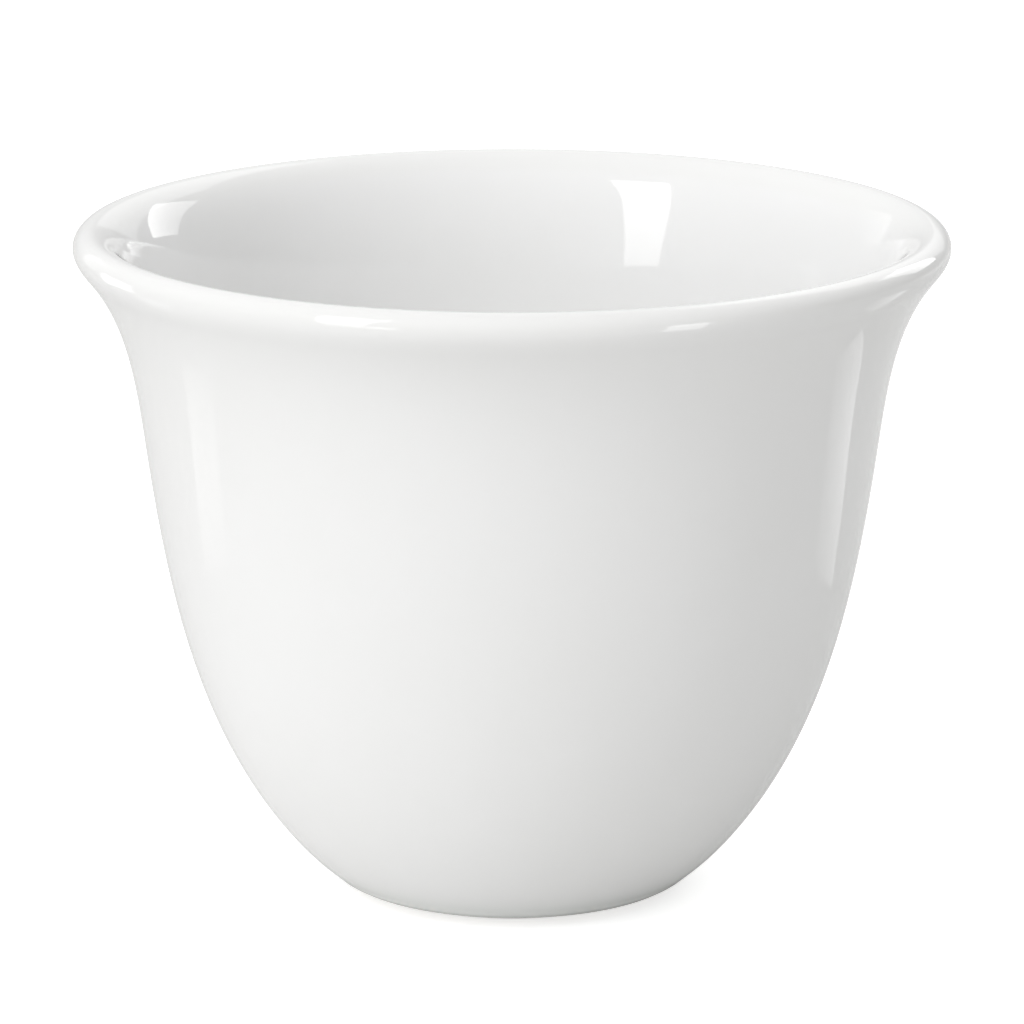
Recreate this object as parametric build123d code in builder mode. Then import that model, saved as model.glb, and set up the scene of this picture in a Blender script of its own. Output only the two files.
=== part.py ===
from build123d import *
from math import radians, tan
import os

# Handle-less Arabic coffee cup: a turned porcelain body with a flared wall, a round lip and a small foot ring.
# Its coats of glaze are solids of their own: one outside and over the lip, one lining the inside, and one in
# the hollow under the foot. The ring it stands on is bare.
# Origin on the table at the middle of the foot, +Z up along the axis. Millimetres and degrees.

# Whole cup, measured over the glaze
RIM_RADIUS = 33.0  # axis to the outermost edge of the lip
HEIGHT = 51.1  # table to the crest of the lip
LIP = 2.6  # across the full round of the lip
WALL = 1.8  # through the wall with its two coats, below the flare
GLAZE = 0.25  # each coat

# Outside of the wall, over the glaze: the lower sizes are taken from the foot, the upper ones from the lip
GLAZE_LINE_OUT = 2.2  # where the outside coat ends, beyond the foot's edge
GLAZE_LINE_HEIGHT = 0.5
GLAZE_LINE_SLOPE = 30.0  # of the wall above level
HEEL_OUT = 7.0  # bend between the base and the belly, beyond the foot's edge
HEEL_HEIGHT = 4.8
NECK_INSET = 5.3  # where the round of the belly turns into the flare, inside the rim's edge
NECK_DROP = 16.8  # below the crest
FLARE_INSET = 1.05  # hollow just under the lip, inside the rim's edge
FLARE_DROP = 3.2  # below the crest

# Round of the lip, as angles about its centre from level outwards
LIP_UNDERCUT = 19.0  # below level, where the outside of the wall runs into it
LIP_RETURN = 110.0  # above level, where the inside of the wall leaves it

# Inside of the wall, over the glaze: its flare turns down in a wider curve than the outside, so that the wall
# is thickest under the lip
MOUTH_INSET = 4.6  # on the curve of the flare, inside the rim's edge
MOUTH_DROP = 3.7  # below the crest
THROAT_INSET = 6.15  # where the flare has turned nearly upright
THROAT_DROP = 10.1
EVEN_WALL = (0.6, 0.4)  # shares of the way up the outside where the wall keeps its thickness
HEEL_WALL = 3.0  # through the wall with its coats at the heel, where it thickens into the floor

# Floor and foot
FLOOR_HEIGHT = 4.4  # table to the middle of the floor, over the glaze
FOOT_RADIUS = 10.5  # outer edge of the bare ring
FOOT_WIDTH = 2.2  # of the bare ring
FOOT_ROUND = 0.3  # on the ring's inner edge
RECESS_DEPTH = 1.4  # table to the clay inside the ring
RECESS_ROUND = 0.6  # in the corner of the recess


def smooth_line(points, end_directions):
    """A spline through the points, at the pace of the lengths between them up to its very ends."""
    return Spline(points, tangents=end_directions, tangent_scalars=(1, 1))


def set_in(surface, point, depth):
    """The point at a depth under a surface curve, square to it at one of its points."""
    along = surface.tangent_at(point)
    return point + Vector(-along.Y, along.X) * depth


# Section lines, radius along X and height along Y. They run from the glaze line up the outside, over the lip
# and down the inside, so that the clay always lies to their left.
lip_round = LIP / 2
lip_centre = Vector(RIM_RADIUS - lip_round, HEIGHT - lip_round)
lip_angles = (-LIP_UNDERCUT, LIP_UNDERCUT + LIP_RETURN)
with BuildLine():
    glazed_lip = CenterArc(lip_centre, lip_round, *lip_angles)
    clay_lip = CenterArc(lip_centre, lip_round - GLAZE, *lip_angles)

glaze_line = Vector(FOOT_RADIUS + GLAZE_LINE_OUT, GLAZE_LINE_HEIGHT)
heel = Vector(FOOT_RADIUS + HEEL_OUT, HEEL_HEIGHT)
neck = Vector(RIM_RADIUS - NECK_INSET, HEIGHT - NECK_DROP)
flare = Vector(RIM_RADIUS - FLARE_INSET, HEIGHT - FLARE_DROP)
outside_ends = (Vector(1, 0).rotate(Axis.Z, GLAZE_LINE_SLOPE), glazed_lip % 0)
outside_points = [glaze_line, heel, neck, flare, glazed_lip @ 0]
with BuildLine():
    glazed_outside = smooth_line(outside_points, outside_ends)
    clay_outside = smooth_line([set_in(glazed_outside, p, GLAZE) for p in outside_points], outside_ends)

mouth = Vector(RIM_RADIUS - MOUTH_INSET, HEIGHT - MOUTH_DROP)
throat = Vector(RIM_RADIUS - THROAT_INSET, HEIGHT - THROAT_DROP)
wall_points = [set_in(glazed_outside, glazed_outside @ share, WALL) for share in EVEN_WALL]
heel_inside = set_in(glazed_outside, heel, HEEL_WALL)
floor_middle = Vector(0, FLOOR_HEIGHT)
inside_ends = (glazed_lip % 1, Vector(-1, 0))
inside_points = [glazed_lip @ 1, mouth, throat, *wall_points, heel_inside, floor_middle]
with BuildLine():
    glazed_inside = smooth_line(inside_points, inside_ends)
    clay_inside = smooth_line([set_in(glazed_inside, p, GLAZE) for p in inside_points], inside_ends)

# Porcelain body: wall, floor and foot ring in one piece
recess_radius = FOOT_RADIUS - FOOT_WIDTH
bare_edge = clay_outside @ 0
heel_turn = bare_edge.X - bare_edge.Y / tan(radians(GLAZE_LINE_SLOPE))  # where its slope would meet the table
with BuildPart() as porcelain_body:
    with BuildSketch(Plane.XZ):
        with BuildLine():
            add([clay_outside, clay_lip, clay_inside])
            Line(clay_inside @ 1, (0, RECESS_DEPTH))
            FilletPolyline(
                (0, RECESS_DEPTH),
                (recess_radius, RECESS_DEPTH),
                (recess_radius, 0),
                (FOOT_RADIUS, 0),
                radius=(RECESS_ROUND, FOOT_ROUND),
            )
            Bezier((FOOT_RADIUS, 0), (heel_turn, 0), bare_edge)
        make_face()
    revolve(axis=Axis.Z)
porcelain_body.part.label = "porcelain_body"

# Outside coat, from the glaze line over the lip to where the wall's inside begins
with BuildPart() as outside_glaze:
    with BuildSketch(Plane.XZ):
        with BuildLine():
            add([glazed_outside, glazed_lip, clay_outside, clay_lip])
            Line(glazed_outside @ 0, clay_outside @ 0)
            Line(glazed_lip @ 1, clay_lip @ 1)
        make_face()
    revolve(axis=Axis.Z)
outside_glaze.part.label = "outside_glaze"

# Inside coat, from the lip down over the floor
with BuildPart() as inside_glaze:
    with BuildSketch(Plane.XZ):
        with BuildLine():
            add([glazed_inside, clay_inside])
            Line(glazed_lip @ 1, clay_lip @ 1)
            Line(glazed_inside @ 1, clay_inside @ 1)
        make_face()
    revolve(axis=Axis.Z)
inside_glaze.part.label = "inside_glaze"

# Underside coat, on the level of the recess inside the foot ring
with BuildPart() as underside_glaze:
    with BuildSketch(Plane.XY.offset(RECESS_DEPTH - GLAZE)):
        Circle(recess_radius - RECESS_ROUND)
    extrude(amount=GLAZE)
underside_glaze.part.label = "underside_glaze"

os.makedirs("parts", exist_ok=True)
for piece in (porcelain_body, outside_glaze, inside_glaze, underside_glaze):
    export_step(piece.part, f"parts/{piece.part.label}.step")
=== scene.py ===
import math

import bpy
import numpy as np
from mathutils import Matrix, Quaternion, Vector


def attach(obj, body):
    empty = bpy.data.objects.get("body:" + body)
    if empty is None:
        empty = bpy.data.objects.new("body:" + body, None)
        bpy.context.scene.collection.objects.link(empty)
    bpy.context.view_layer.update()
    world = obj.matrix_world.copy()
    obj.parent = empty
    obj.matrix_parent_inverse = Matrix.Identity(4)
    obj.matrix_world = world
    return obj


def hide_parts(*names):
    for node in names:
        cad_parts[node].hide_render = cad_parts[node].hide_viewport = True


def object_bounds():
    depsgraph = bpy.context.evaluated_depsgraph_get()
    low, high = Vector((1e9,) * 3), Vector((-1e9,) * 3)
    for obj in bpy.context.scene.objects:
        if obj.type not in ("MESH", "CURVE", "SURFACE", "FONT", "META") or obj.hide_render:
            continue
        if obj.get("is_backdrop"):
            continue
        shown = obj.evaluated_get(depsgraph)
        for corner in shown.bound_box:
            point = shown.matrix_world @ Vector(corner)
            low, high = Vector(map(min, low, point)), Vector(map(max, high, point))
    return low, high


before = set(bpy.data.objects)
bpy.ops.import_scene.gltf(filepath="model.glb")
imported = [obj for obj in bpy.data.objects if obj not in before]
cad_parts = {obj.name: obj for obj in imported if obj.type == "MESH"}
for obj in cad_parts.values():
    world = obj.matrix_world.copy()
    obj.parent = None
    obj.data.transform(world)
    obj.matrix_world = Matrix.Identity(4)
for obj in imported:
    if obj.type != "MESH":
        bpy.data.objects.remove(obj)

# Handle-less coffee cup of white glazed porcelain, dressed around its CAD frame.
# The dictionaries are in millimetres and degrees, Blender itself works in metres.
mm = 0.001
cadLow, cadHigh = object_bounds()
print(f"frame: {len(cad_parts)} nodes, {cadHigh.z / mm:.1f} mm high")

# Section of the cup, radius across and height up, through the same stations as the solids
section = {
    "rimRadius": round(cadHigh.x / mm, 1),
    "height": round(cadHigh.z / mm, 1),
    "lip": 2.6,  # across its full round
    "wall": 1.8,  # with both coats
    "glaze": 0.25,  # each coat
    "glazeLineOut": 2.2,  # beyond the foot's edge
    "glazeLineHeight": 0.5,
    "glazeLineSlope": 30.0,
    "heelOut": 7.0,  # beyond the foot's edge
    "heelHeight": 4.8,
    "neckInset": 5.3,  # inside the rim's edge
    "neckDrop": 16.8,  # below the crest
    "flareInset": 1.05,
    "flareDrop": 3.2,
    "lipUndercut": 19.0,  # angles about the lip's centre, from level
    "lipReturn": 110.0,
    "mouthInset": 4.6,  # inside of the flare, inside the rim's edge
    "mouthDrop": 3.7,
    "throatInset": 6.15,
    "throatDrop": 10.1,
    "evenWall": (0.6, 0.4),  # shares of the way up where the wall keeps its thickness
    "heelWall": 3.0,
    "floorHeight": 4.4,
    "footRadius": 10.5,
    "footWidth": 2.2,
    "footRound": 0.3,
    "recessDepth": 1.4,
    "recessRound": 0.6,
}
lineSteps = 300  # samples on each span of a curve, before it is divided into rings


def wayAt(degrees):
    return np.array([math.cos(math.radians(degrees)), math.sin(math.radians(degrees))])


def smoothLine(stations, startWay, endWay):
    # cubic spline at the pace of the lengths between its stations, at unit speed at both ends
    points = np.array(stations, float)
    gaps = np.linalg.norm(np.diff(points, axis=0), axis=1)
    weights = np.eye(len(points))
    pulls = np.zeros_like(points)
    pulls[0], pulls[-1] = startWay, endWay
    for i in range(1, len(points) - 1):
        before, after = 1 / gaps[i - 1], 1 / gaps[i]
        weights[i, i - 1:i + 2] = before, 2 * (before + after), after
        pulls[i] = 3 * (points[i] - points[i - 1]) * before**2 + 3 * (points[i + 1] - points[i]) * after**2
    speeds = np.linalg.solve(weights, pulls)
    u = np.linspace(0, 1, lineSteps, endpoint=False)[:, None]
    spans = []
    for i, gap in enumerate(gaps):
        leave = (1 + 2 * u) * (1 - u) ** 2 * points[i] + u * (1 - u) ** 2 * gap * speeds[i]
        arrive = u**2 * (3 - 2 * u) * points[i + 1] + u**2 * (u - 1) * gap * speeds[i + 1]
        spans.append(leave + arrive)
    return np.vstack([*spans, points[-1:]])


def arcLine(centre, radius, startAngle, endAngle):
    angles = np.linspace(startAngle, endAngle, lineSteps + 1)
    return np.array(centre) + radius * np.array([wayAt(a) for a in angles])


def measure(line):
    return np.concatenate([[0], np.cumsum(np.linalg.norm(np.diff(line, axis=0), axis=1))])


def along(line, distances, run):
    return np.column_stack([np.interp(distances, run, line[:, axis]) for axis in (0, 1)])


def setIn(line, depth):
    # square to the line at each of its points; the clay lies to the left of every line
    ways = np.gradient(line, measure(line), axis=0)
    ways /= np.linalg.norm(ways, axis=1)[:, None]
    return line + np.column_stack([-ways[:, 1], ways[:, 0]]) * depth


def closerAtEnds(count):
    return (1 - np.cos(np.linspace(0, math.pi, count))) / 2


def drawSection(s):
    rim, top, foot = s["rimRadius"], s["height"], s["footRadius"]
    lipRound = s["lip"] / 2
    lip = arcLine((rim - lipRound, top - lipRound), lipRound, -s["lipUndercut"], s["lipReturn"])
    outsideStations = [
        (foot + s["glazeLineOut"], s["glazeLineHeight"]),
        (foot + s["heelOut"], s["heelHeight"]),
        (rim - s["neckInset"], top - s["neckDrop"]),
        (rim - s["flareInset"], top - s["flareDrop"]),
        lip[0],
    ]
    outside = smoothLine(outsideStations, wayAt(s["glazeLineSlope"]), wayAt(90 - s["lipUndercut"]))
    run = measure(outside)
    mouth = (rim - s["mouthInset"], top - s["mouthDrop"])
    throat = (rim - s["throatInset"], top - s["throatDrop"])
    even = along(setIn(outside, s["wall"]), np.array(s["evenWall"]) * run[-1], run)
    heel = setIn(outside, s["heelWall"])[lineSteps]  # one span up, at the outside's own heel
    floorMiddle = (0, s["floorHeight"])
    insideStations = [lip[-1], mouth, throat, *even, heel, floorMiddle]
    inside = smoothLine(insideStations, wayAt(90 + s["lipReturn"]), (-1, 0))
    line = np.vstack([outside, lip[1:], inside[1:]])
    seam = len(outside) + len(lip) - 2  # where the dipped coat meets the lining, just inside the lip
    return line, measure(line)[seam]


glazedLine, seamRun = drawSection(section)
clayLine = setIn(glazedLine, section["glaze"])
clayLine[-1, 0] = 0
glazedRun = measure(glazedLine)
print(f"section: {glazedRun[-1]:.1f} mm along the glaze, seam of the coats at {seamRun:.1f} mm")

# Turning the sections on the wheel: quads all round, one turn of even steps
wheel = {
    "segments": 240,
    "startAngle": 90.0,  # the texture map's seam goes to the back
    "axisReach": 1e-6,  # a ring nearer than this to the axis is a single point
    "creaseAngle": 40.0,
    "bakeMap": "OFBake",  # a texture map for baking, under this name
    "hiddenShare": 0.05,  # of its true length, for the back of a coat on that map
}
turnSteps = np.linspace(0, 2 * math.pi, wheel["segments"], endpoint=False)
wheelAngles = math.radians(wheel["startAngle"]) + turnSteps


def lathe(name, chains, hidden=()):
    # chains are rings of (radius, height) with the solid to their left, one for all angles or one for each;
    # hidden are the steps from ring to ring that never show
    chains = np.broadcast_to(chains, (wheel["segments"], *np.shape(chains)[-2:]))
    rings = chains.shape[1]
    onAxis = [np.all(chains[:, i, 0] < wheel["axisReach"]) for i in range(rings)]
    points, firstOf = [], []
    for i in range(rings):
        firstOf.append(len(points))
        turns = 1 if onAxis[i] else wheel["segments"]
        for k in range(turns):
            radius, height = chains[k, i] * mm
            points.append((radius * math.cos(wheelAngles[k]), radius * math.sin(wheelAngles[k]), height))
    closed = not (onAxis[0] and onAxis[-1])
    steps = np.linalg.norm(np.diff(np.vstack([chains[0], chains[0][:closed]]), axis=0), axis=1)
    steps[list(hidden)] *= wheel["hiddenShare"]
    share = np.concatenate([[0], np.cumsum(steps)]) / steps.sum()
    faces, mapPoints = [], []
    for i in range(len(steps)):
        j = (i + 1) % rings
        for k in range(wheel["segments"]):
            n = (k + 1) % wheel["segments"]
            corners = [(i, k, k), (i, n, k + 1), (j, n, k + 1), (j, k, k)]
            if onAxis[i]:
                corners = [(i, 0, k + 0.5), *corners[2:]]
            elif onAxis[j]:
                corners = [*corners[:2], (j, 0, k + 0.5)]
            faces.append([firstOf[ring] + turn for ring, turn, _ in corners])
            for ring, _, across in corners:
                mapPoints.append((across / wheel["segments"], share[i + 1] if ring == j else share[i]))
    mesh = bpy.data.meshes.new(name)
    mesh.from_pydata(points, [], faces)
    bakeMap = mesh.uv_layers.new(name=wheel["bakeMap"])
    bakeMap.data.foreach_set("uv", np.array(mapPoints, np.float32).ravel())
    mesh.shade_smooth()
    mesh.set_sharp_from_angle(angle=math.radians(wheel["creaseAngle"]))
    piece = bpy.data.objects.new(name, mesh)
    bpy.context.scene.collection.objects.link(piece)
    print(f"{name}: {len(faces)} faces")
    return piece


def linear(hexColour):
    # sRGB hex as it is picked on screen, to the linear colour that the shaders take
    channels = [int(hexColour[i:i + 2], 16) / 255 for i in (1, 3, 5)]
    return (*[c / 12.92 if c <= 0.04045 else ((c + 0.055) / 1.055) ** 2.4 for c in channels], 1.0)


def perMetre(millimetres):
    return 1 / (millimetres * mm)


def emptyTree(owner):
    # of a material, a lamp or the world
    owner.use_nodes = True
    owner.node_tree.nodes.clear()
    return owner.node_tree


def addNode(tree, kind, settings=None, links=None):
    # settings are the node's own options by name, or its inputs by name or number
    node = tree.nodes.new(kind)
    for key, value in (settings or {}).items():
        if isinstance(key, int) or key in node.inputs:
            node.inputs[key].default_value = value
        else:
            setattr(node, key, value)
    for key, socket in (links or {}).items():
        tree.links.new(socket, node.inputs[key])
    return node


def newMaterial(name, settings):
    material = bpy.data.materials.new(name)
    tree = emptyTree(material)
    shader = addNode(tree, "ShaderNodeBsdfPrincipled", settings)
    addNode(tree, "ShaderNodeOutputMaterial", None, {"Surface": shader.outputs["BSDF"]})
    place = addNode(tree, "ShaderNodeTexCoord").outputs["Object"]
    return material, tree, shader, place


# Clear gloss glaze over white porcelain. The eye sees a clean cool white with sharp reflections, which only
# waver a little where the melt didn't level out.
clearGlaze = {
    "white": "#f4f4f4",
    "cloud": "#f0f0ef",  # where the coat is a touch thicker
    "cloudSize": 15.0,
    "pool": "#eef0ee",  # thick glaze is faintly sea green
    "lipShade": "#f1f1f0",  # painted shade: the lip's crest is darker, to hold back the light it gets from above
    "lipShadeFrom": 1.7,  # below the crest
    "lipShadeTo": 0.9,
    "peelSize": 2.4,
    "peelHeight": 0.0008,
    "swellSize": 9.0,
    "swellHeight": 0.004,
    "gloss": (0.035, 0.065),  # roughness, cleanest to most worn
    "wear": (0.3, 0.7),  # levels of the noise where the gloss starts to go and where it is worn
    "wearSize": 20.0,
    "ior": 1.5,
}


def glazedPorcelain(name, poolFrom, poolTo, stroke=None):
    # numbered sockets: 6 and 7 are a mix's two colours; 1 to 4 a range's ends, from and to
    g = clearGlaze
    material, tree, shader, place = newMaterial(name, {"IOR": g["ior"]})
    height = addNode(tree, "ShaderNodeSeparateXYZ", None, {0: place}).outputs["Z"]

    # faint clouds in the white, a tint where the glaze pools, and painted shade that darkens the lip's
    # crest
    settings = {"Scale": perMetre(g["cloudSize"]), "Detail": 2.0}
    cloud = addNode(tree, "ShaderNodeTexNoise", settings, {"Vector": place})
    settings = {"data_type": "RGBA", 6: linear(g["white"]), 7: linear(g["cloud"])}
    colour = addNode(tree, "ShaderNodeMix", settings, {0: cloud.outputs[0]})
    crest = section["height"]
    tints = (
        (g["pool"], poolFrom, poolTo),
        # painted shade on the lip's crest
        (g["lipShade"], crest - g["lipShadeFrom"], crest - g["lipShadeTo"]),
    )
    for tint, fromHeight, toHeight in tints:
        settings = {"interpolation_type": "SMOOTHSTEP", 1: fromHeight * mm, 2: toHeight * mm}
        share = addNode(tree, "ShaderNodeMapRange", settings, {0: height})
        settings = {"data_type": "RGBA", 7: linear(tint)}
        colour = addNode(tree, "ShaderNodeMix", settings, {0: share.outputs[0], 6: colour.outputs[2]})
    tree.links.new(colour.outputs[2], shader.inputs["Base Color"])

    # gloss, a little uneven
    settings = {"Scale": perMetre(g["wearSize"]), "Detail": 3.0}
    wear = addNode(tree, "ShaderNodeTexNoise", settings, {"Vector": place})
    (unworn, worn), (clean, dull) = g["wear"], g["gloss"]
    settings = {"interpolation_type": "SMOOTHSTEP", 1: unworn, 2: worn, 3: clean, 4: dull}
    roughness = addNode(tree, "ShaderNodeMapRange", settings, {0: wear.outputs[0]})
    tree.links.new(roughness.outputs[0], shader.inputs["Roughness"])

    # swell and peel of the melt, and the strokes of the brush where there are any
    waves = []
    for wave in ("swell", "peel"):
        settings = {"Scale": perMetre(g[wave + "Size"]), "Detail": 1.0}
        relief = addNode(tree, "ShaderNodeTexNoise", settings, {"Vector": place})
        waves.append((relief, g[wave + "Height"]))
    if stroke:
        settings = {"Rotation": (0, 0, math.radians(stroke["angle"]))}
        turned = addNode(tree, "ShaderNodeMapping", settings, {0: place})
        settings = {"operation": "MULTIPLY", 1: (1 / stroke["length"], 1, 1)}
        drawn = addNode(tree, "ShaderNodeVectorMath", settings, {0: turned.outputs[0]})
        settings = {"Scale": perMetre(stroke["width"]), "Detail": 2.0}
        relief = addNode(tree, "ShaderNodeTexNoise", settings, {"Vector": drawn.outputs[0]})
        waves.append((relief, stroke["height"]))
    normal = None
    for relief, waveHeight in waves:
        settings = {"Distance": waveHeight * mm}
        bump = addNode(tree, "ShaderNodeBump", settings, {"Height": relief.outputs[0]})
        if normal:
            tree.links.new(normal, bump.inputs["Normal"])
        normal = bump.outputs[0]
    tree.links.new(normal, shader.inputs["Normal"])
    return material


def dress(piece, material, node):
    piece.data.materials.append(material)
    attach(piece, "root")
    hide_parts(node)


# Outside coat: the cup is dipped, so the coat ends above the foot in a soft rolled edge that wanders a bit
dippedCoat = {
    "rings": 190,
    "backRings": 90,
    "edgeLength": 0.45,  # over which the edge rounds down to the clay
    "rollHeight": 0.05,  # the coat gathers behind its edge as it melts
    "rollAt": 1.1,
    "rollWidth": 0.5,
    "wander": ((2, 0.07, 0.4), (3, 0.06, 2.1), (7, 0.03, 4.4), (13, 0.02, 1.2)),  # waves, size, phase
    "wanderFade": 6.0,  # way up the wall over which the coat settles down again
    "poolFrom": 3.4,  # heights between which the glaze gathers
    "poolTo": 0.7,
}


def makeDippedCoat():
    c = dippedCoat
    outer = closerAtEnds(c["rings"]) * seamRun
    back = closerAtEnds(c["backRings"])[1:][::-1] * seamRun
    nose = 1 - np.clip(outer / c["edgeLength"], 0, 1)
    roll = np.exp(-(((outer - c["rollAt"]) / c["rollWidth"]) ** 2))
    thick = np.sqrt(1 - nose**2)
    thick += c["rollHeight"] / section["glaze"] * roll * (1 - nose)
    chains = []
    for angle in wheelAngles:
        rise = sum(size * (1 + math.sin(count * angle + phase)) / 2 for count, size, phase in c["wander"])
        outerRun = outer + rise * np.clip(1 - outer / c["wanderFade"], 0, 1) ** 2
        backRun = back + rise * np.clip(1 - back / c["wanderFade"], 0, 1) ** 2
        onClay = along(clayLine, outerRun, glazedRun)
        onGlaze = along(glazedLine, outerRun, glazedRun)
        front = onClay + (onGlaze - onClay) * thick[:, None]
        chains.append(np.vstack([front, along(clayLine, backRun, glazedRun)]))
    return lathe("dipped_coat", np.array(chains), range(c["rings"] - 1, c["rings"] + c["backRings"] - 1))


dippedGlaze = glazedPorcelain("glazed porcelain, dipped", dippedCoat["poolFrom"], dippedCoat["poolTo"])
dress(makeDippedCoat(), dippedGlaze, "outside_glaze")

# Inside coat: poured in and out again as a lining, so the glaze gathers on the floor
pouredLining = {
    "rings": 190,
    "backRings": 90,
    "poolFrom": 14.0,  # heights between which the glaze gathers
    "poolTo": 3.4,
}


def makePouredLining():
    c = pouredLining
    reach = glazedRun[-1] - seamRun
    front = along(glazedLine, seamRun + closerAtEnds(c["rings"]) * reach, glazedRun)
    back = along(clayLine, seamRun + closerAtEnds(c["backRings"])[::-1] * reach, glazedRun)
    return lathe("poured_lining", np.vstack([back, front]), range(c["backRings"]))


pouredGlaze = glazedPorcelain("glazed porcelain, poured", pouredLining["poolFrom"], pouredLining["poolTo"])
dress(makePouredLining(), pouredGlaze, "inside_glaze")

# Coat under the foot: brushed into the recess, with a rounded edge and the strokes of the brush left in it
brushedCoat = {
    "rings": 40,
    "edgeRings": 10,
    "poolFrom": 2.4,  # heights between which the glaze gathers
    "poolTo": 0.4,
    "stroke": {"angle": 35.0, "width": 0.9, "length": 9.0, "height": 0.03},  # length is in widths
}


def makeBrushedCoat():
    c, s = brushedCoat, section
    edge = s["footRadius"] - s["footWidth"] - s["recessRound"]
    thick = s["glaze"]
    flat = np.linspace(0, edge - thick, c["rings"])
    lower = [(r, s["recessDepth"] - thick) for r in flat]
    turn = arcLine((edge - thick, s["recessDepth"]), thick, -90, 0)[:: lineSteps // c["edgeRings"]][1:]
    upper = [(r, s["recessDepth"]) for r in flat[::-1]]
    chain = np.vstack([lower, turn, upper])
    return lathe("brushed_coat", chain, range(len(lower) + len(turn) - 1, len(chain) - 1))


brushedGlaze = glazedPorcelain(
    "glazed porcelain, brushed", brushedCoat["poolFrom"], brushedCoat["poolTo"], brushedCoat["stroke"]
)
dress(makeBrushedCoat(), brushedGlaze, "underside_glaze")

# Body: one piece of clay, bare where it shows on the foot ring
turnedBody = {
    "wallRings": 120,
    "footRings": 12,
    "heelRings": 24,
    "clay": "#efece6",
    "smudge": "#e2dcd2",  # handling and tables have rubbed into it
    "smudgeSize": 4.5,
    "smudgeRange": (0.52, 0.72),  # levels of the noise where a smudge starts and where it is full
    "grind": "#e6e2da",
    "grindSize": 0.14,  # real grit marks are about 0.03 mm, too fine to show
    "grindRange": (0.45, 0.75),
    "grindHeight": 0.004,
    "dryness": (0.5, 0.68),  # roughness, rubbed to open
    "ior": 1.5,
}


def makeTurnedBody():
    c, s = turnedBody, section
    foot, inner, deep = s["footRadius"], s["footRadius"] - s["footWidth"], s["recessDepth"]
    recessRound, footRound = s["recessRound"], s["footRound"]
    bareEdge = clayLine[0]
    heelTurn = (bareEdge[0] - bareEdge[1] / math.tan(math.radians(s["glazeLineSlope"])), 0)
    every = lineSteps // c["footRings"]
    recess = [(r, deep) for r in np.linspace(0, inner - recessRound, c["footRings"])]
    corner = arcLine((inner - recessRound, deep - recessRound), recessRound, 90, 0)[::every][1:]
    edge = arcLine((inner + footRound, footRound), footRound, 180, 270)[::every]
    ring = [(r, 0) for r in np.linspace(inner + footRound, foot, c["footRings"])[1:]]
    u = np.linspace(0, 1, c["heelRings"])[1:-1, None]
    heel = (1 - u) ** 2 * np.array([foot, 0]) + 2 * u * (1 - u) * np.array(heelTurn) + u**2 * bareEdge
    wall = along(clayLine, closerAtEnds(c["wallRings"]) * glazedRun[-1], glazedRun)
    bare = np.vstack([recess, corner, edge, ring, heel])
    # the coat's edge wanders, so the wall's first rings keep their full length on the texture map
    glazedOver = range(len(bare) + c["heelRings"], len(bare) + c["wallRings"] - 1)
    return lathe("turned_body", np.vstack([bare, wall]), glazedOver)


def groundPorcelain(name, look):
    # bare porcelain, ground flat on the ring: a dry warm white with fine marks all round
    material, tree, shader, place = newMaterial(name, {"IOR": look["ior"]})
    level = addNode(tree, "ShaderNodeVectorMath", {"operation": "MULTIPLY", 1: (1, 1, 0)}, {0: place})
    radius = addNode(tree, "ShaderNodeVectorMath", {"operation": "LENGTH"}, {0: level.outputs[0]})
    settings = {"noise_dimensions": "1D", "Scale": perMetre(look["grindSize"]), "Detail": 3.0}
    grit = addNode(tree, "ShaderNodeTexNoise", settings, {"W": radius.outputs["Value"]})
    low, high = look["grindRange"]
    settings = {"interpolation_type": "SMOOTHSTEP", 1: low, 2: high}
    grind = addNode(tree, "ShaderNodeMapRange", settings, {0: grit.outputs[0]})
    settings = {"data_type": "RGBA", 6: linear(look["clay"]), 7: linear(look["grind"])}
    ground = addNode(tree, "ShaderNodeMix", settings, {0: grind.outputs[0]})

    # dirt from handling, which also rubs the clay smoother
    settings = {"Scale": perMetre(look["smudgeSize"]), "Detail": 4.0}
    dirt = addNode(tree, "ShaderNodeTexNoise", settings, {"Vector": place})
    low, high = look["smudgeRange"]
    settings = {"interpolation_type": "SMOOTHSTEP", 1: low, 2: high}
    smudge = addNode(tree, "ShaderNodeMapRange", settings, {0: dirt.outputs[0]})
    settings = {"data_type": "RGBA", 7: linear(look["smudge"])}
    colour = addNode(tree, "ShaderNodeMix", settings, {0: smudge.outputs[0], 6: ground.outputs[2]})
    tree.links.new(colour.outputs[2], shader.inputs["Base Color"])
    rubbed, opened = look["dryness"]
    settings = {"interpolation_type": "SMOOTHSTEP", 3: opened, 4: rubbed}
    dryness = addNode(tree, "ShaderNodeMapRange", settings, {0: smudge.outputs[0]})
    tree.links.new(dryness.outputs[0], shader.inputs["Roughness"])
    settings = {"Distance": look["grindHeight"] * mm}
    bump = addNode(tree, "ShaderNodeBump", settings, {"Height": grit.outputs[0]})
    tree.links.new(bump.outputs[0], shader.inputs["Normal"])
    return material


bareClay = groundPorcelain("bare porcelain, ground", turnedBody)
dress(makeTurnedBody(), bareClay, "porcelain_body")

# Camera, fitted to the photograph's outline
camera = {
    "distance": 462.0,
    "pitch": 13.825,
    "aimHeight": 28.912,
    "lens": 213.53,
    "sensor": 36.0,
    "near": 10.0,  # what it sees begins and ends here
    "far": 20000.0,
}


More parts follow.
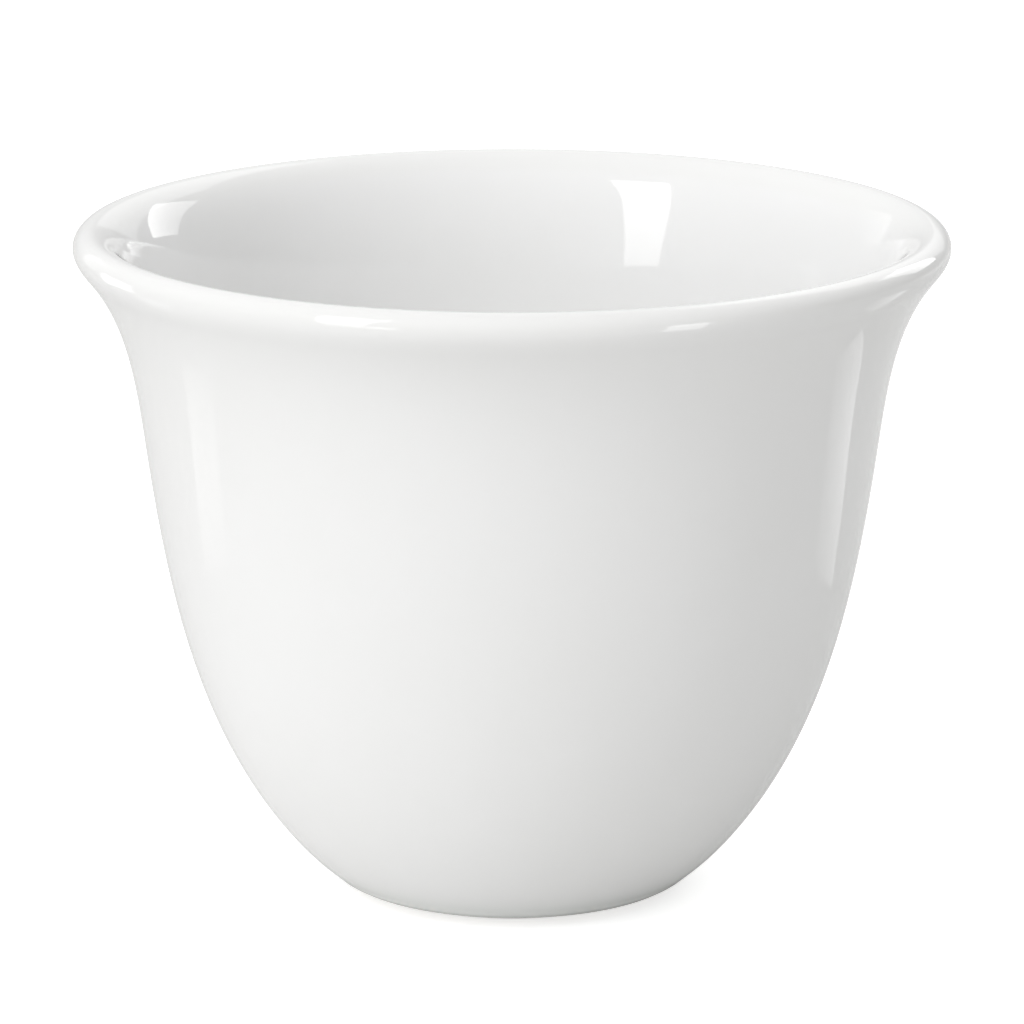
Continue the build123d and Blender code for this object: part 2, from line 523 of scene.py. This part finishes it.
def placeCamera(c):
    lens = bpy.data.cameras.new("camera")
    lens.lens, lens.sensor_width = c["lens"], c["sensor"]
    lens.clip_start, lens.clip_end = c["near"] * mm, c["far"] * mm
    eye = bpy.data.objects.new("camera", lens)
    pitch = math.radians(c["pitch"])
    back = c["distance"] * math.cos(pitch)
    height = c["aimHeight"] + c["distance"] * math.sin(pitch)
    eye.location = (0, -back * mm, height * mm)
    eye.rotation_euler = (math.radians(90) - pitch, 0, 0)
    bpy.context.scene.collection.objects.link(eye)
    bpy.context.scene.camera = eye


placeCamera(camera)
print(f"camera: {camera['distance']:.0f} mm away, {camera['lens']:.0f} mm lens")

# Softboxes around the cup, where its reflections show them. Azimuth goes round the cup from the camera's
# side to the right of the picture. Facing is how far a box is turned, leant over and rolled from looking
# straight at the cup. Brightness runs from a box's lower edge to its upper one, or across it, left to right
# from behind the box, and 1 is paper white.
softboxes = {
    "key": {
        "azimuth": -44.4, "elevation": 16.0, "distance": 1500, "facing": (7, 32, 1), "size": (345, 1687),
        "brightness": (1.7, 4.8), "across": False,
    },
    "kick": {
        "azimuth": -33, "elevation": 1, "distance": 1500, "facing": (0, 0, 0), "size": (210, 366),
        "brightness": (2.8, 2.8), "across": False,
    },
    "rightBack": {
        "azimuth": 137.0, "elevation": 19.4, "distance": 450, "facing": (31, 43, -33), "size": (146, 238),
        "brightness": (1.6, 2.8), "across": True,
    },
    "leftBack": {
        "azimuth": -140.8, "elevation": 10.9, "distance": 1500, "facing": (25, 19, 10), "size": (561, 728),
        "brightness": (0.5, 0.0), "across": True,
    },
    "backPanel": {
        "azimuth": 158, "elevation": 28, "distance": 1500, "facing": (0, 0, 20), "size": (693, 1152),
        "brightness": (0.3, 1.1), "across": False,
    },
    "smallRight": {
        "azimuth": 47, "elevation": 2, "distance": 1500, "facing": (0, 0, 0), "size": (315, 264),
        "brightness": (1.6, 1.6), "across": False,
    },
}
boxAim = 46.0  # height of what the boxes are set out from, just under the lip


def wayTo(azimuth, elevation):
    a, e = math.radians(azimuth), math.radians(elevation)
    return Vector((math.sin(a) * math.cos(e), -math.cos(a) * math.cos(e), math.sin(e)))


def hangSoftbox(name, b):
    light = bpy.data.lights.new(name, "AREA")
    light.shape = "RECTANGLE"
    light.size, light.size_y = b["size"][0] * mm, b["size"][1] * mm
    light.energy = math.pi * light.size * light.size_y  # brightness 1 over the whole face
    tree = emptyTree(light)
    face = addNode(tree, "ShaderNodeNewGeometry")
    place = addNode(tree, "ShaderNodeSeparateXYZ", None, {0: face.outputs["Parametric"]})
    ends = {3: b["brightness"][0], 4: b["brightness"][1]}
    level = addNode(tree, "ShaderNodeMapRange", ends, {0: place.outputs["X" if b["across"] else "Y"]})
    glow = addNode(tree, "ShaderNodeEmission", None, {"Strength": level.outputs[0]})
    addNode(tree, "ShaderNodeOutputLight", None, {"Surface": glow.outputs[0]})
    box = bpy.data.objects.new(name, light)
    box.location = Vector((0, 0, boxAim * mm)) + wayTo(b["azimuth"], b["elevation"]) * b["distance"] * mm
    turn, lean, roll = b["facing"]
    # a lamp shines against its own Z, so that axis points away from the cup
    back = wayTo(b["azimuth"] + turn, b["elevation"] + lean).to_track_quat("Z", "Y")
    box.rotation_euler = (back @ Quaternion((0, 0, 1), math.radians(roll))).to_euler()
    box.visible_camera = False
    bpy.context.scene.collection.objects.link(box)


for name, values in softboxes.items():
    hangSoftbox(name, values)

# White cards round the cup, out of the picture: they only brighten what the glaze mirrors from there. Two
# lie on the paper and give soft streaks down the wall, two stand up and give the marks on the lip. A corner
# is azimuth, distance, height and how much it adds, and 1 is paper white.
cards = {
    "leftCard": ((-93, 80, 0.5, 0.2), (-107, 78, 0.5, 0.2), (-107, 145, 0.5, 0.8), (-93, 145, 0.5, 0.8)),
    "rightCard": ((104, 78, 0.5, 0.1), (119, 75, 0.5, 0.45), (119, 145, 0.5, 1.4), (104, 145, 0.5, 0.4)),
    "leftMark": ((-108, 224, 2, 1.8), (-124, 218, 2, 1.8), (-124, 218, 74, 1.8), (-108, 224, 74, 1.8)),
    "rightMark": ((34.5, 130, 2, 3.2), (44.5, 130, 2, 3.2), (44.5, 130, 62, 3.2), (34.5, 130, 62, 3.2)),
}


def cardGlow():
    material = bpy.data.materials.new("white card, lit")
    tree = emptyTree(material)
    level = addNode(tree, "ShaderNodeAttribute", {"attribute_name": "glow"})
    glow = addNode(tree, "ShaderNodeEmission", None, {"Strength": level.outputs["Fac"]})
    clear = addNode(tree, "ShaderNodeBsdfTransparent")
    both = addNode(tree, "ShaderNodeAddShader", None, {0: clear.outputs[0], 1: glow.outputs[0]})
    addNode(tree, "ShaderNodeOutputMaterial", None, {"Surface": both.outputs[0]})
    return material


def placeCard(name, corners, material):
    points, levels = [], []
    for azimuth, distance, height, level in corners:
        points.append((wayTo(azimuth, 0) * distance + Vector((0, 0, height))) * mm)
        levels.append(level)
    mesh = bpy.data.meshes.new(name)
    mesh.from_pydata(points, [], [(0, 1, 2, 3)])
    mesh.attributes.new("glow", "FLOAT", "POINT").data.foreach_set("value", levels)
    mesh.materials.append(material)
    card = bpy.data.objects.new(name, mesh)
    card.visible_camera = False
    card.visible_diffuse = False
    card.visible_shadow = False
    bpy.context.scene.collection.objects.link(card)
    card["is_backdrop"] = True


litCard = cardGlow()
for name, corners in cards.items():
    placeCard(name, corners, litCard)

# White surround, brighter on some sides than on others. The camera sees plain white, and what the glaze
# mirrors has a share of that white on top of the walls.
surround = {
    "even": 0.17,
    "walls": {  # what each side adds, left, right, front, back and top
        (-1, 0, 0): 0.25,
        (1, 0, 0): -0.16,
        (0, -1, 0): 0.43,
        (0, 1, 0): 0.31,
        (0, 0, 1): 0.72,
    },
    "seen": 1.0,
    "mirrored": 0.15,
}


def withWhite(tree, lit, levels):
    # lit is the level that lights the cup; the camera gets the seen level, and mirrored rays get some more
    rays = addNode(tree, "ShaderNodeLightPath").outputs
    sharp = {0: rays["Is Glossy Ray"], 1: rays["Is Transmission Ray"]}
    either = addNode(tree, "ShaderNodeMath", {"operation": "MAXIMUM"}, sharp).outputs[0]
    settings = {"operation": "MULTIPLY_ADD", 1: levels["mirrored"]}
    added = addNode(tree, "ShaderNodeMath", settings, {0: either, 2: lit})
    links = {0: rays["Is Camera Ray"], 2: added.outputs[0]}
    return addNode(tree, "ShaderNodeMix", {3: levels["seen"]}, links).outputs[0]


def makeWorld():
    world = bpy.data.worlds.new("studio")
    bpy.context.scene.world = world
    tree = emptyTree(world)
    way = addNode(tree, "ShaderNodeTexCoord").outputs["Generated"]
    lit = addNode(tree, "ShaderNodeValue").outputs[0]
    lit.default_value = surround["even"]
    for side, level in surround["walls"].items():
        toward = addNode(tree, "ShaderNodeVectorMath", {"operation": "DOT_PRODUCT", 1: side}, {0: way})
        wall = addNode(tree, "ShaderNodeMapRange", {4: level}, {0: toward.outputs["Value"]})
        lit = addNode(tree, "ShaderNodeMath", {"operation": "ADD"}, {0: lit, 1: wall.outputs[0]}).outputs[0]
    strength = withWhite(tree, lit, surround)
    white = addNode(tree, "ShaderNodeBackground", {"Color": (1, 1, 1, 1)}, {"Strength": strength})
    addNode(tree, "ShaderNodeOutputWorld", None, {"Surface": white.outputs[0]})


makeWorld()

# Matt white paper under the cup, lit through at the front left, which fills the cup's left side from below
paper = {
    "size": 6000.0,
    "colour": "#dadad9",
    "glow": 0.27,
    "glowAt": (-58.0, -40.0),
    "glowReach": 100.0,
    "seen": 0.65,
    "mirrored": 0.03,
}


def makeFloor():
    half = paper["size"] / 2 * mm
    corners = [(-half, -half, 0), (half, -half, 0), (half, half, 0), (-half, half, 0)]
    mesh = bpy.data.meshes.new("floor")
    mesh.from_pydata(corners, [], [(0, 1, 2, 3)])
    floor = bpy.data.objects.new("floor", mesh)
    bpy.context.scene.collection.objects.link(floor)
    floor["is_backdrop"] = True
    material = bpy.data.materials.new("matt white paper")
    tree = emptyTree(material)
    sheet = addNode(tree, "ShaderNodeBsdfDiffuse", {"Color": linear(paper["colour"])})
    place = addNode(tree, "ShaderNodeTexCoord").outputs["Object"]
    middle = (paper["glowAt"][0] * mm, paper["glowAt"][1] * mm, 0)
    away = addNode(tree, "ShaderNodeVectorMath", {"operation": "DISTANCE", 1: middle}, {0: place})
    fade = {"interpolation_type": "SMOOTHSTEP", 1: 0, 2: paper["glowReach"] * mm, 3: paper["glow"], 4: 0}
    lit = addNode(tree, "ShaderNodeMapRange", fade, {0: away.outputs["Value"]}).outputs[0]
    glow = addNode(tree, "ShaderNodeEmission", None, {"Strength": withWhite(tree, lit, paper)})
    both = addNode(tree, "ShaderNodeAddShader", None, {0: sheet.outputs[0], 1: glow.outputs[0]})
    addNode(tree, "ShaderNodeOutputMaterial", None, {"Surface": both.outputs[0]})
    mesh.materials.append(material)


makeFloor()
bpy.context.scene.view_settings.view_transform = "Standard"
print(f"studio: {len(softboxes)} softboxes, {len(cards)} cards, white paper")

low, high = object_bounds()
size = high - low
print(f"visual model: {size.x / mm:.2f} x {size.y / mm:.2f} x {size.z / mm:.2f} mm")
